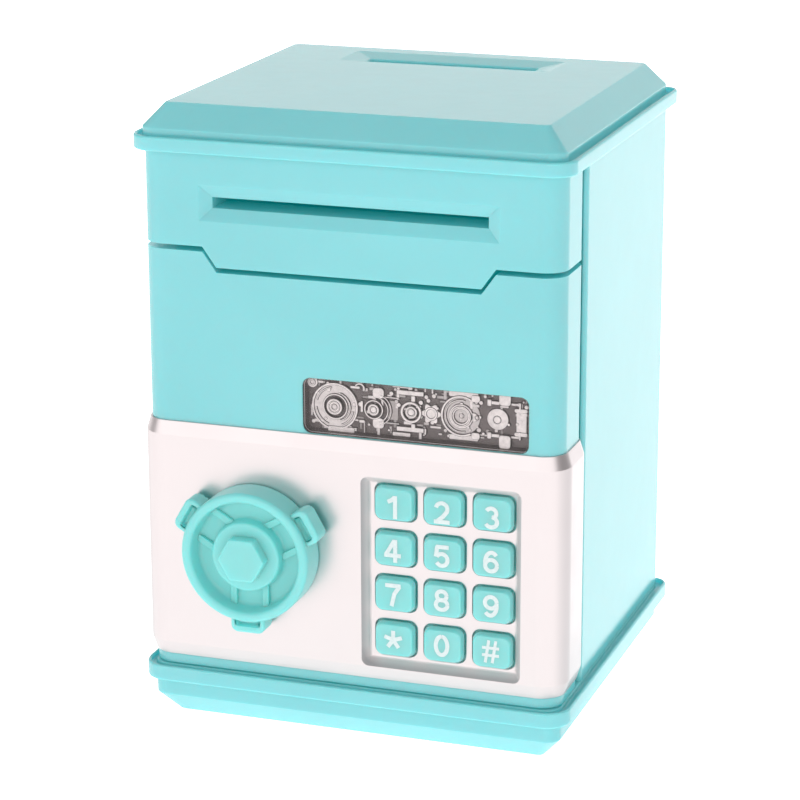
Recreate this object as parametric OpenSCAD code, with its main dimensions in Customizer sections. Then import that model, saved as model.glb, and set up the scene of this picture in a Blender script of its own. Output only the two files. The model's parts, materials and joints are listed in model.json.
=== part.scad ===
// Toy ATM savings bank: a small money box with a hinged safe door, a latch knob and twelve play keys.
// Millimetres. The origin is the centre of the base's underside, +Z is up and the front faces -Y.

/* [Overall size] */
// Width over the lid and base flanges
flange_w = 78; // [70:1:120]
// Depth over the lid and base flanges
flange_d = 72.4; // [66:1:110]
// Height from the table to the top of the lid
total_h = 110; // [104:1:150]
// How far the flanges stand out past the walls
overhang = 1.6; // [1.2:0.1:2.5]
// Wall thickness of the moulded shells
wall = 2.2; // [1.8:0.1:2.6]

/* [Base and lid] */
// Height of the base, up to the top of its flange
base_h = 9.9; // [9.5:0.1:12]
// Height of the underside of the base flange
base_flange_z = 7.05; // [6:0.05:8]
// Height of the chamfer round the foot and of the bevel round the lid
bevel_h = 4; // [3:0.1:5]
// How far that bevel runs inwards
bevel_run = 3.55; // [2.5:0.05:5]
// Height of the lid, from the underside of its flange
lid_h = 7.65; // [7:0.05:10]
// Thickness of the lid flange
lid_flange_t = 2.55; // [2:0.05:3.2]

/* [Slots] */
// Width of the bank note slot
note_w = 48.8; // [30:0.1:56]
// Height of the bank note slot
note_h = 1.9; // [1.5:0.1:3]
// Height of the middle of the note slot
note_z = 93.75; // [92:0.05:96]
// Width of the coin slot
coin_w = 32; // [25:0.5:40]
// Length of the coin slot, front to back
coin_l = 2.6; // [2:0.1:4]
// How far the coin slot lies behind the middle
coin_y = 21.6; // [10:0.1:24]

/* [Door] */
// Height of the door's bottom edge
door_z = 10.2; // [10.2:0.1:11]
// Height of the seam above the door at the sides
seam_high_z = 85.8; // [84:0.1:88]
// Height of the seam in the middle, where it steps down
seam_low_z = 82.3; // [80:0.1:84]
// Width of the stepped part of the seam
seam_w = 49.5; // [40:0.5:56]
// Gap between the door and its surround
seam_gap = 0.9; // [0.4:0.1:1]
// How far the door wraps back along the sides
door_wrap = 13.3; // [12:0.1:16]
// How far the door opens, in degrees
door_swing = 90; // [60:5:90]

/* [Chrome panel] */
// Height of the panel's bottom edge
panel_z = 12; // [11.5:0.1:14]
// Height of the panel's top edge
panel_top = 55; // [52:0.1:55]
// How far the panel stands proud of the door
panel_proud = 1; // [0.8:0.1:1.2]
// Height of the bevels along the panel's top and bottom edges
panel_bevel = 2.4; // [1.5:0.1:3]

/* [Keypad] */
// Width of one key
key_w = 7.2; // [6:0.1:7.4]
// Height of one key
key_h = 6.2; // [5.5:0.1:6.8]
// Distance between key columns
key_pitch_x = 8.75; // [8.6:0.05:9]
// Distance between key rows
key_pitch_z = 8.17; // [8:0.01:8.4]
// How far a key can be pressed in
key_travel = 0.8; // [0.5:0.1:0.9]

/* [Knob] */
// Radius of the knob's rim
knob_r = 11.6; // [9:0.1:13]
// How far the knob stands out from the panel
knob_out = 6.3; // [5:0.1:8]
// Radius of the knob's shaft
shaft_r = 3; // [2.5:0.1:3.5]

/* [Hidden] */

$fn = 64;
eps = 0.02;
big = 200;

body_x = flange_w / 2 - overhang;
body_y = flange_d / 2 - overhang;
lid_z = total_h - lid_h;
front_y = -body_y;
door_back_y = front_y + door_wrap;
housing_front_y = door_back_y + 1.3;
body_corner_r = 4;
rear_corner_r = 2.5;
flange_front_r = 4.5;
flange_rear_r = 2.5;
rim_w = 0.6;
lip_w = 0.85;
rebate_depth = 2.2;
gutter_depth = 0.8;
rim_round = 0.7;
floor_z = 2.4;
lid_roof_z = total_h - 2.4;

pin_r = 1;
pin_x = body_x - 3;
pin_y = door_back_y - 2.9;
pin_fit = 0.02;
running_fit = 0.05;
knuckle_r = 2.6;
pin_bottom_z = 7;
pin_top_z = 91;

panel_y = front_y - panel_proud;
panel_edge = 0.25;
panel_knuckle_r = panel_proud + 3.05;
door_knuckle_r = 3.05;

key_x0 = 8.25;
key_z0 = 44.05;
key_gap = 0.2;
key_corner_r = 1.2;
recess_depth = 1.8;
recess_slope = 1.2;
recess_x = [2.5, 31];
recess_z = [14.5, 48.7];
pad_floor_y = panel_y + recess_depth;
pad_floor_t = 0.8;
pad_wall = 0.8;
key_out = 1.4;
key_flange_y = pad_floor_y + pad_floor_t + 0.1;
key_flange_t = 0.8;
key_flange_rim = 0.6;
key_back_y = key_flange_y + key_flange_t + 0.8;
dome_tip_y = key_back_y + key_travel + 0.2;
mat_y = dome_tip_y + 0.5;
mat_t = 0.8;
tray_t = 1.2;
seam_slope = 0.36;

knob_x = -16.6;
knob_z = 33.8;
knob_back_y = panel_y - 0.2;
knob_front_y = panel_y - knob_out;
knob_rim_w = 1.7;
knob_floor_y = knob_front_y + 3.3;
hub_r = 6;
hub_front_y = knob_front_y + 0.8;
hex_r = 4.3;
hex_front_y = knob_front_y - 1.4;
lobe_r = 14;
lobe_w = 6.2;
lobe_chamfer = 1.2;
lobe_wall = 1.25;
lobe_pocket_w = 4.6;
lobe_pocket_depth = 1.7;
rib_x = 2.95;
rib_w = 0.8;
rib_h = 0.5;
shaft_in_knob = 1.5;

plate_t = 1.4;
plate_y = door_back_y - 0.2 - plate_t;
shaft_end_y = plate_y + plate_t + 3.1;
cam_t = 1.8;
cam_len = 17;
cam_w = 6;
tenon = 3.4;
washer_t = 0.5;
keeper_y = shaft_end_y - 0.3;
keeper_t = 1.5;
keeper_reach = 3.8;
keeper_plate_t = 1.1;
keeper_plate_l = 10;
keeper_lug_h = 12;
keeper_plate_h = 14;
keeper_screw_y = -11;
keeper_screw_dz = 4;
keeper_screw_l = 2.4;

window_x = [-8.2, 31.9];
window_z = [55.1, 64.9];
window_r = 1.5;
slot_frame_w = 2.2;
slot_frame_depth = 1.1;
coin_recess = [20, 5.3];
coin_recess_depth = 0.7;
lens_gap = 0.05;

screw_r = 0.8;
screw_head_r = 1.6;
screw_play = 0.2;
head_h = 1;
long_head_h = 1.2;
head_pocket_z = 3;
corner_spots = [[-31, -12.5], [31, -12.5], [-31, 28.4], [31, 28.4]];
boss_r = 2.8;
lower_boss_top_z = 20;
upper_boss_z = 99.4;
base_screw_l = 14.5;
lid_screw_l = 7;
door_spots = [[-31.4, 17], [-31.4, 76], [27.5, 76], [27.5, 51.7]];
door_boss_r = 2;
tab_screw_y = housing_front_y + 4.5;
tab_screw_z = 96;
tab_t = 1.8;
tab_z = 91;
tab_h = 8;

mint = "#8fdde0";
mint_dark = "#5fc4c4";
chrome = "#efe6e6";
steel = "#b8bcc0";

// ---------- shared shapes ----------

// Rectangle from corner a to corner b
module rect(a, b) {
    translate(a)
        square(b - a);
}

// Rectangle from a to b with all corners rounded
module round_rect(a, b, r) {
    rect([a[0] + r, a[1]], [b[0] - r, b[1]]);
    rect([a[0], a[1] + r], [b[0], b[1] - r]);
    for (x = [a[0] + r, b[0] - r], y = [a[1] + r, b[1] - r])
        translate([x, y])
            circle(r);
}

// Plan outline with its own front and rear corner radii
module plan(hx, hy, front_r, rear_r) {
    rect([-hx, -hy + front_r], [hx, hy - rear_r]);
    rect([-hx + front_r, -hy], [hx - front_r, 0]);
    rect([-hx + rear_r, 0], [hx - rear_r, hy]);
    for (s = [-1, 1]) {
        translate([s * (hx - front_r), -hy + front_r])
            circle(front_r);
        translate([s * (hx - rear_r), hy - rear_r])
            circle(rear_r);
    }
}

// Turns a drawing in X and Z into a slab from y0 to y1
module front_slab(y0, y1) {
    translate([0, y1, 0])
        rotate([90, 0, 0])
            linear_extrude(y1 - y0)
                children();
}

// Cylinder along Y from y0 to y1
module rod_y(x, z, r, y0, y1) {
    translate([x, y1, z])
        rotate([90, 0, 0])
            cylinder(r = r, h = y1 - y0);
}

// Cylinder along Z from z0 to z1
module rod_z(x, y, r, z0, z1) {
    translate([x, y, z0])
        cylinder(r = r, h = z1 - z0);
}

// Block whose four sides slope from half sizes bottom to half sizes top, with mitred corners
module mitred_block(bottom, top, h) {
    intersection() {
        rotate([90, 0, 0])
            linear_extrude(big, center = true)
                polygon([[-bottom[0], 0], [bottom[0], 0], [top[0], h], [-top[0], h]]);
        rotate([90, 0, 90])
            linear_extrude(big, center = true)
                polygon([[-bottom[1], 0], [bottom[1], 0], [top[1], h], [-top[1], h]]);
    }
}

// Flange slab whose upper outer edge is eased
module flange(z0, z1) {
    translate([0, 0, z0])
        linear_extrude(z1 - z0 - rim_round)
            plan(flange_w / 2, flange_d / 2, flange_front_r, flange_rear_r);
    translate([0, 0, z1 - rim_round - eps])
        linear_extrude(rim_round + eps)
            plan(flange_w / 2 - 0.35, flange_d / 2 - 0.35, flange_front_r - 0.35, flange_rear_r - 0.35);
}

// Gutter between a wall and the rim of a flange
module gutter(z0, z1) {
    translate([0, 0, z0])
        linear_extrude(z1 - z0)
            difference() {
                plan(flange_w / 2 - rim_w, flange_d / 2 - rim_w, flange_front_r - rim_w, flange_rear_r - rim_w);
                plan(body_x, body_y, body_corner_r, rear_corner_r);
            }
}

// Pan head screw pointing along +Z, its head below z = 0
module screw(shank_r, shank_l, head_r, head_h) {
    translate([0, 0, -eps])
        cylinder(r = shank_r, h = shank_l + eps);
    translate([0, 0, -head_h])
        difference() {
            cylinder(r = head_r, h = head_h);
            for (a = [0, 90])
                rotate([0, 0, a])
                    translate([-head_r * 0.6, -0.2, -eps])
                        cube([head_r * 1.2, 0.4, head_h * 0.5]);
        }
}

// ---------- fixed body ----------

// Outline of the rear shell: two sides and a back, open to the front
module housing_plan() {
    difference() {
        intersection() {
            plan(body_x, body_y, body_corner_r, rear_corner_r);
            rect([-big, housing_front_y], [big, big]);
        }
        rect([-body_x + wall, -big], [body_x - wall, body_y - wall]);
        for (s = [-1, 1]) {
            translate([s * (body_x - lip_w), housing_front_y + lip_w])
                difference() {
                    rect([s > 0 ? 0 : -lip_w - 0.1, -lip_w - 0.1], [s > 0 ? lip_w + 0.1 : 0, 0]);
                    circle(lip_w);
                }
            rect([s > 0 ? body_x - wall - 0.1 : -body_x + lip_w, -big],
                 [s > 0 ? body_x - lip_w : -body_x + wall + 0.1, housing_front_y + rebate_depth]);
        }
    }
}

// Short boss in a corner of the rear shell, joined to the side wall
module housing_boss(spot, z0, z1) {
    rod_z(spot[0], spot[1], boss_r, z0, z1);
    side = sign(spot[0]);
    translate([side > 0 ? spot[0] : -body_x + wall / 2, spot[1] - boss_r, z0])
        cube([body_x - wall / 2 - abs(spot[0]), 2 * boss_r, z1 - z0]);
}

module housing() {
    color(mint)
        difference() {
            union() {
                translate([0, 0, base_h])
                    linear_extrude(lid_z - base_h)
                        housing_plan();
                for (spot = corner_spots) {
                    housing_boss(spot, base_h, lower_boss_top_z);
                    housing_boss(spot, upper_boss_z, lid_z);
                }
            }
            for (spot = corner_spots) {
                rod_z(spot[0], spot[1], screw_r + pin_fit, base_h - 1, lower_boss_top_z - 2);
                rod_z(spot[0], spot[1], screw_r + 0.3, upper_boss_z - 1, lid_z + 1);
            }
            for (s = [-1, 1])
                translate([s * (body_x - wall - 1), tab_screw_y, tab_screw_z])
                    rotate([0, 90, 0])
                        cylinder(r = screw_r + pin_fit, h = 5, center = true);
            for (dz = [-keeper_screw_dz, keeper_screw_dz])
                translate([-body_x + wall - 0.7, keeper_screw_y, knob_z + dz])
                    rotate([0, 90, 0])
                        cylinder(r = screw_r + pin_fit, h = 1.6, center = true);
        }
}

module top_lid() {
    color(mint)
        difference() {
            union() {
                difference() {
                    flange(lid_z, lid_z + lid_flange_t);
                    gutter(lid_z + lid_flange_t - gutter_depth, lid_z + lid_flange_t + 1);
                }
                translate([0, 0, lid_z])
                    linear_extrude(lid_h - bevel_h)
                        plan(body_x, body_y, 1, 1);
                translate([0, 0, total_h - bevel_h - eps])
                    mitred_block([body_x, body_y], [body_x - bevel_run, body_y - bevel_run], bevel_h + eps);
            }
            difference() {
                translate([0, 0, lid_z - 1])
                    linear_extrude(lid_roof_z - lid_z + 1)
                        rect([-body_x + bevel_run + wall, -body_y + bevel_run + wall],
                             [body_x - bevel_run - wall, body_y - bevel_run - wall]);
                for (spot = corner_spots)
                    rod_z(spot[0], spot[1], boss_r, lid_z, total_h);
            }
            for (spot = corner_spots)
                rod_z(spot[0], spot[1], screw_r + pin_fit, lid_z - 1, upper_boss_z + lid_screw_l + 0.35);
            translate([0, coin_y, total_h + eps])
                mirror([0, 0, 1])
                    mitred_block(coin_recess, [coin_w / 2 + eps, coin_l / 2 + eps], coin_recess_depth);
            translate([0, coin_y, 0])
                linear_extrude(big)
                    rect([-coin_w / 2, -coin_l / 2], [coin_w / 2, coin_l / 2]);
        }
}

// Outline of the door and the fascia: a front with two sides that wrap back
module front_plan(grow) {
    intersection() {
        plan(body_x + grow, body_y + grow, body_corner_r + grow, rear_corner_r);
        union() {
            rect([-big, -big], [big, pin_y]);
            rect([-pin_x, pin_y - 1], [pin_x, door_back_y]);
            for (s = [-1, 1])
                translate([s * pin_x, pin_y])
                    circle(grow > 0 ? panel_knuckle_r : door_knuckle_r);
        }
        rect([-big, -big], [big, door_back_y]);
    }
}

// Everything below the seam line, shifted by dz, in X and Z
module below_seam(dz) {
    low = seam_low_z + dz;
    high = seam_high_z + dz;
    half = seam_w / 2;
    slope = (high - low) * seam_slope;
    polygon([[-big, -big], [big, -big], [big, high], [half + slope, high],
             [half - slope, low], [-half + slope, low], [-half - slope, high], [-big, high]]);
}

module note_fascia() {
    color(mint)
        difference() {
            union() {
                difference() {
                    translate([0, 0, seam_low_z])
                        linear_extrude(lid_z - seam_low_z)
                            front_plan(0);
                    difference() {
                        translate([0, 0, -1])
                            linear_extrude(big)
                                rect([-body_x + wall, front_y + wall], [body_x - wall, big]);
                        front_slab(-big, big)
                            difference() {
                                below_seam(seam_gap / 2 + 1.8);
                                below_seam(0);
                            }
                    }
                }
                front_slab(front_y + wall - eps, front_y + wall + 5)
                    rect([-note_w / 2 - 1.2, note_z - note_h / 2 - 1.2], [note_w / 2 + 1.2, note_z + note_h / 2 + 1.2]);
                for (s = [-1, 1])
                    translate([s * (body_x - wall - tab_t / 2 - 0.2), 0, tab_z])
                        linear_extrude(tab_h)
                            rect([-tab_t / 2, front_y + 6], [tab_t / 2, housing_front_y + 7]);
                rod_z(pin_x, pin_y, 2.4, seam_high_z + 1, pin_top_z + 1.6);
            }
            front_slab(-big, big)
                below_seam(seam_gap / 2);
            front_slab(-big, big)
                rect([-note_w / 2, note_z - note_h / 2], [note_w / 2, note_z + note_h / 2]);
            translate([0, front_y - eps, note_z])
                rotate([-90, 0, 0])
                    mitred_block([note_w / 2 + slot_frame_w, note_h / 2 + slot_frame_w],
                                 [note_w / 2 + eps, note_h / 2 + eps], slot_frame_depth);
            rod_z(pin_x, pin_y, pin_r + pin_fit, seam_high_z - 2, pin_top_z + 0.1);
            for (s = [-1, 1])
                translate([s * (body_x - wall - 1), tab_screw_y, tab_screw_z])
                    rotate([0, 90, 0])
                        cylinder(r = screw_r + screw_play, h = 4, center = true);
        }
}

module fascia_screws() {
    color(steel)
        for (s = [-1, 1])
            translate([s * (body_x - wall - tab_t - 0.2), tab_screw_y, tab_screw_z])
                rotate([0, s * 90, 0])
                    screw(screw_r, 3.4, screw_head_r, head_h);
}

module base_tray() {
    color(mint)
        difference() {
            union() {
                mitred_block([body_x - bevel_run, body_y - bevel_run], [body_x, body_y], bevel_h);
                translate([0, 0, bevel_h - eps])
                    linear_extrude(base_flange_z - bevel_h + 2 * eps)
                        plan(body_x, body_y, 1, 1);
                flange(base_flange_z, base_h);
            }
            gutter(base_h - gutter_depth, base_h + 1);
            difference() {
                translate([0, 0, floor_z])
                    linear_extrude(base_h)
                        rect([-body_x + bevel_run + wall, housing_front_y + 2],
                             [body_x - bevel_run - wall, body_y - bevel_run - wall]);
                for (spot = corner_spots)
                    rod_z(spot[0], spot[1], boss_r, 0, base_h);
            }
            for (spot = corner_spots) {
                rod_z(spot[0], spot[1], screw_r + screw_play, -1, base_h);
                rod_z(spot[0], spot[1], screw_head_r + 0.3, -1, head_pocket_z);
            }
            rod_z(pin_x, pin_y, pin_r + pin_fit, pin_bottom_z, base_h);
        }
}

module hinge_pin() {
    color(steel)
        rod_z(pin_x, pin_y, pin_r, pin_bottom_z, pin_top_z);
}

// Striker on the left wall that the latch tongue turns behind
module latch_keeper() {
    wall_x = -body_x + wall;
    color(steel)
        difference() {
            union() {
                translate([wall_x, keeper_y - keeper_t, knob_z - keeper_lug_h / 2])
                    cube([keeper_reach, keeper_t, keeper_lug_h]);
                translate([wall_x, keeper_y - keeper_t, knob_z - keeper_plate_h / 2])
                    cube([keeper_plate_t, keeper_t + keeper_plate_l, keeper_plate_h]);
            }
            for (dz = [-keeper_screw_dz, keeper_screw_dz])
                translate([wall_x, keeper_screw_y, knob_z + dz])
                    rotate([0, 90, 0])
                        cylinder(r = screw_r + screw_play, h = 4, center = true);
        }
}

module keeper_screws() {
    color(steel)
        for (dz = [-keeper_screw_dz, keeper_screw_dz])
            translate([-body_x + wall + keeper_plate_t, keeper_screw_y, knob_z + dz])
                rotate([0, -90, 0])
                    screw(screw_r, keeper_screw_l, screw_head_r, head_h);
}

module lid_screws() {
    color(steel)
        for (spot = corner_spots)
            translate([spot[0], spot[1], upper_boss_z])
                screw(screw_r, lid_screw_l, screw_head_r, long_head_h);
}

module base_screws() {
    color(steel)
        for (spot = corner_spots)
            translate([spot[0], spot[1], head_pocket_z])
                screw(screw_r, base_screw_l, screw_head_r, long_head_h);
}

// ---------- door ----------

module door_shell() {
    color(mint)
        difference() {
            union() {
                difference() {
                    translate([0, 0, door_z])
                        linear_extrude(big)
                            front_plan(0);
                    difference() {
                        front_slab(front_y + wall, big)
                            intersection() {
                                below_seam(-seam_gap / 2 - wall);
                                rect([-body_x + wall, door_z + wall], [body_x - wall, big]);
                            }
                        translate([0, 0, door_z])
                            linear_extrude(big)
                                rect([pin_x, pin_y - knuckle_r], [big, big]);
                    }
                }
                rod_z(pin_x, pin_y, knuckle_r, door_z, big);
                for (spot = door_spots)
                    rod_y(spot[0], spot[1], door_boss_r, front_y + wall - eps, plate_y);
                rod_y(knob_x, knob_z, shaft_r + 2, front_y + wall - eps, front_y + wall + 3);
            }
            front_slab(-big, big)
                difference() {
                    rect([-big, 0], [big, 2 * big]);
                    below_seam(-seam_gap / 2);
                }
            front_slab(-big, front_y + wall + 1)
                round_rect([window_x[0], window_z[0]], [window_x[1], window_z[1]], window_r);
            front_slab(-big, front_y + wall + 1)
                rect([recess_x[0] - pad_wall, recess_z[0] - pad_wall], [recess_x[1] + pad_wall, recess_z[1] + pad_wall]);
            rod_y(knob_x, knob_z, shaft_r + running_fit, -big, 0);
            rod_z(pin_x, pin_y, pin_r + running_fit, 0, big);
            for (spot = door_spots)
                rod_y(spot[0], spot[1], screw_r + pin_fit, plate_y - 7, plate_y + 1);
        }
}

// Solid whose plan is the door's, grown outwards, with bevelled top and bottom edges
module panel_solid() {
    module belt(z0, z1, g0, g1) {
        hx = body_x - body_corner_r;
        hy = -front_y - body_corner_r;
        translate([0, 0, z0]) {
            rotate([90, 0, 90])
                linear_extrude(2 * hx, center = true)
                    polygon([[0, 0], [front_y - g0, 0], [front_y - g1, z1 - z0], [0, z1 - z0]]);
            translate([0, -hy, 0])
                rotate([-90, 0, 0])
                    mirror([0, 1, 0])
                        linear_extrude(hy)
                            polygon([[-body_x - g0, 0], [body_x + g0, 0], [body_x + g1, z1 - z0],
                                     [-body_x - g1, z1 - z0]]);
            for (s = [-1, 1])
                translate([s * hx, -hy, 0])
                    cylinder(r1 = body_corner_r + g0, r2 = body_corner_r + g1, h = z1 - z0);
        }
    }
    belt(panel_z, panel_z + panel_bevel, panel_edge, panel_proud);
    belt(panel_z + panel_bevel, panel_top - panel_bevel, panel_proud, panel_proud);
    belt(panel_top - panel_bevel, panel_top, panel_proud, panel_edge);
}

module key_grid() {
    for (row = [0:3], col = [0:2])
        translate([key_x0 + col * key_pitch_x, key_z0 - row * key_pitch_z])
            children();
}

module key_outline(grow) {
    round_rect([-key_w / 2 - grow, -key_h / 2 - grow], [key_w / 2 + grow, key_h / 2 + grow], key_corner_r + grow);
}

module chrome_panel() {
    mid_x = (recess_x[0] + recess_x[1]) / 2;
    mid_z = (recess_z[0] + recess_z[1]) / 2;
    half_x = (recess_x[1] - recess_x[0]) / 2;
    half_z = (recess_z[1] - recess_z[0]) / 2;
    color(chrome)
        difference() {
            union() {
                difference() {
                    intersection() {
                        panel_solid();
                        translate([0, 0, panel_z])
                            linear_extrude(panel_top - panel_z)
                                front_plan(panel_proud);
                    }
                    linear_extrude(big)
                        front_plan(0);
                    linear_extrude(big)
                        rect([-body_x, pin_y], [body_x, big]);
                }
                front_slab(front_y - 0.5, pad_floor_y + pad_floor_t)
                    rect([recess_x[0] - pad_wall + 0.05, recess_z[0] - pad_wall + 0.05],
                         [recess_x[1] + pad_wall - 0.05, recess_z[1] + pad_wall - 0.05]);
            }
            translate([mid_x, panel_y - eps, mid_z])
                rotate([-90, 0, 0])
                    mitred_block([half_x, half_z], [half_x - recess_slope, half_z - recess_slope], recess_depth + eps);
            front_slab(-big, big)
                key_grid()
                    key_outline(key_gap);
            rod_y(knob_x, knob_z, shaft_r + 0.3, -big, big);
        }
}

module window_lens() {
    color([0.8, 0.85, 0.85, 0.35])
        front_slab(front_y + 0.1, front_y + 1.1)
            round_rect([window_x[0] + lens_gap, window_z[0] + lens_gap],
                       [window_x[1] - lens_gap, window_z[1] - lens_gap], window_r);
}

// Decorative plate of make-believe clockwork, moulded in one piece
module gear_relief() {
    back_y = front_y + wall;
    mid_z = (window_z[0] + window_z[1]) / 2;
    module wheel(x, z, r, rise) {
        rod_y(x, z, r, back_y - rise, back_y + eps);
    }
    color("#9a9090")
        union() {
            front_slab(back_y, back_y + 1.2)
                rect([window_x[0] - 1.6, window_z[0] - 1], [32.2, window_z[1] + 1]);
            for (ring = [[4.2, 0.4], [3.2, 0.55], [1.9, 0.75], [1, 0.95]])
                wheel(-2.5, mid_z + 0.2, ring[0], ring[1]);
            for (ring = [[2.1, 0.5], [1.2, 0.9]])
                wheel(4.4, mid_z + 0.2, ring[0], ring[1]);
            for (ring = [[1.9, 0.6], [0.8, 0.9]])
                wheel(11.1, mid_z + 0.1, ring[0], ring[1]);
            for (ring = [[3.5, 0.4], [2.4, 0.6], [1.3, 0.8]])
                wheel(19.9, mid_z, ring[0], ring[1]);
            wheel(26.6, mid_z, 1.8, 0.8);
            for (z = [mid_z - 3.4, mid_z + 3.4]) {
                front_slab(back_y - 0.7, back_y + eps)
                    rect([26.9, z - 1.1], [28.7, z + 1.1]);
                front_slab(back_y - 0.5, back_y + eps)
                    rect([7.6, z - 0.4], [12.4, z + 0.4]);
            }
        }
}

module door_back_plate() {
    color(mint)
        difference() {
            front_slab(plate_y, plate_y + plate_t)
                intersection() {
                    below_seam(-seam_gap / 2 - wall - 0.1);
                    rect([-body_x + wall + 0.1, door_z + wall + 0.1], [pin_x - knuckle_r - 0.1, big]);
                }
            rod_y(knob_x, knob_z, shaft_r + running_fit, -big, big);
            for (spot = door_spots)
                rod_y(spot[0], spot[1], screw_r + screw_play, -big, big);
        }
}

module key_mat() {
    color("#d9d6cf") {
        front_slab(mat_y, mat_y + mat_t)
            rect([recess_x[0] + 0.8, recess_z[0] + 0.8], [recess_x[1] - 0.8, recess_z[1] - 0.8]);
        for (row = [0:3], col = [0:2])
            rod_y(key_x0 + col * key_pitch_x, key_z0 - row * key_pitch_z, 2.2, dome_tip_y, mat_y + eps);
    }
}

module keypad_tray() {
    rear_y = mat_y + mat_t + tray_t;
    color("#e8e6e0")
        difference() {
            front_slab(pad_floor_y + pad_floor_t, rear_y)
                rect([recess_x[0] - 0.5, recess_z[0] - 0.5], [recess_x[1] + 0.5, recess_z[1] + 0.5]);
            front_slab(-big, rear_y - tray_t)
                rect([recess_x[0] + 0.7, recess_z[0] + 0.7], [recess_x[1] - 0.7, recess_z[1] - 0.7]);
        }
}

module door_screws() {
    color(steel)
        for (spot = door_spots)
            translate([spot[0], plate_y + plate_t, spot[1]])
                rotate([90, 0, 0])
                    screw(screw_r, plate_t + 6, screw_head_r, head_h);
}

// ---------- knob and latch ----------

module knob_lobe() {
    front = knob_front_y + 1.3;
    back = knob_back_y - 0.8;
    half = lobe_w / 2;
    root = knob_r - 1;
    difference() {
        front_slab(front, back)
            polygon([[root, -half], [lobe_r - lobe_chamfer, -half], [lobe_r, -half + lobe_chamfer],
                     [lobe_r, half - lobe_chamfer], [lobe_r - lobe_chamfer, half], [root, half]]);
        front_slab(front - eps, front + lobe_pocket_depth)
            rect([knob_r, -lobe_pocket_w / 2], [lobe_r - lobe_wall, lobe_pocket_w / 2]);
    }
}

module knob() {
    color(mint)
        translate([knob_x, 0, knob_z])
            difference() {
                union() {
                    difference() {
                        rod_y(0, 0, knob_r, knob_front_y, knob_back_y);
                        rod_y(0, 0, knob_r - knob_rim_w, -big, knob_floor_y);
                    }
                    rod_y(0, 0, hub_r, hub_front_y, knob_back_y);
                    rotate([90, 0, 0])
                        translate([0, 0, -hub_front_y - 1])
                            cylinder(r = hex_r, h = hub_front_y - hex_front_y + 1, $fn = 6);
                    for (a = [30, 150, 270])
                        rotate([0, -a, 0]) {
                            knob_lobe();
                            for (z = [-rib_x, rib_x])
                                front_slab(knob_floor_y - rib_h, knob_floor_y + 1)
                                    rect([hub_r - 1, z - rib_w / 2], [knob_r - 1, z + rib_w / 2]);
                        }
                }
                rod_y(0, 0, shaft_r + pin_fit, hub_front_y + shaft_in_knob, 0);
            }
}

module knob_shaft() {
    color(mint_dark)
        difference() {
            union() {
                rod_y(knob_x, knob_z, shaft_r, hub_front_y + shaft_in_knob, shaft_end_y);
                front_slab(shaft_end_y - eps, shaft_end_y + cam_t - 0.1)
                    rect([knob_x - tenon / 2, knob_z - tenon / 2], [knob_x + tenon / 2, knob_z + tenon / 2]);
            }
            rod_y(knob_x, knob_z, screw_r + 0.2 + pin_fit, shaft_end_y - 6, 0);
        }
}

// Tongue that points down when unlocked and turns to the left behind the keeper
module latch_cam() {
    color(mint_dark)
        translate([knob_x, 0, knob_z])
            difference() {
                front_slab(shaft_end_y, shaft_end_y + cam_t) {
                    circle(4.6);
                    rect([-cam_w / 2, -cam_len + cam_w / 2], [cam_w / 2, 0]);
                    translate([0, -cam_len + cam_w / 2])
                        circle(cam_w / 2);
                }
                front_slab(-big, big)
                    rect([-tenon / 2 - pin_fit, -tenon / 2 - pin_fit], [tenon / 2 + pin_fit, tenon / 2 + pin_fit]);
            }
}

module cam_washer() {
    y0 = shaft_end_y + cam_t;
    color(steel)
        difference() {
            rod_y(knob_x, knob_z, 3.4, y0, y0 + washer_t);
            rod_y(knob_x, knob_z, 1.2, -big, big);
        }
}

module cam_screw() {
    y0 = shaft_end_y + cam_t + washer_t;
    color(steel)
        translate([knob_x, y0, knob_z])
            rotate([90, 0, 0])
                screw(screw_r + 0.2, 7, 2.4, 1.3);
}

// ---------- keys ----------

module play_key(row, col) {
    face_y = pad_floor_y - key_out;
    edge = 0.45;
    color(mint)
        translate([key_x0 + col * key_pitch_x, 0, key_z0 - row * key_pitch_z]) {
            front_slab(face_y, face_y + edge + eps)
                key_outline(-edge);
            front_slab(face_y + edge, key_flange_y + eps)
                key_outline(0);
            front_slab(key_flange_y, key_flange_y + key_flange_t)
                key_outline(key_flange_rim);
            rod_y(0, 0, 1.8, key_flange_y + key_flange_t - eps, key_back_y);
        }
}

housing();
top_lid();
note_fascia();
base_tray();
hinge_pin();
latch_keeper();
keeper_screws();
lid_screws();
base_screws();
fascia_screws();
door_shell();
chrome_panel();
window_lens();
gear_relief();
door_back_plate();
key_mat();
keypad_tray();
door_screws();
knob();
knob_shaft();
latch_cam();
cam_washer();
cam_screw();
play_key(0, 0);  // key_1
play_key(0, 1);  // key_2
play_key(0, 2);  // key_3
play_key(1, 0);  // key_4
play_key(1, 1);  // key_5
play_key(1, 2);  // key_6
play_key(2, 0);  // key_7
play_key(2, 1);  // key_8
play_key(2, 2);  // key_9
play_key(3, 0);  // key_star
play_key(3, 1);  // key_0
play_key(3, 2);  // key_hash
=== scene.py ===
"""Looks of the toy ATM savings bank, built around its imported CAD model. Metres, +Z up, front at -Y."""
import json
import math
import random

import bmesh
import bpy
from mathutils import Matrix, Vector


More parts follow.
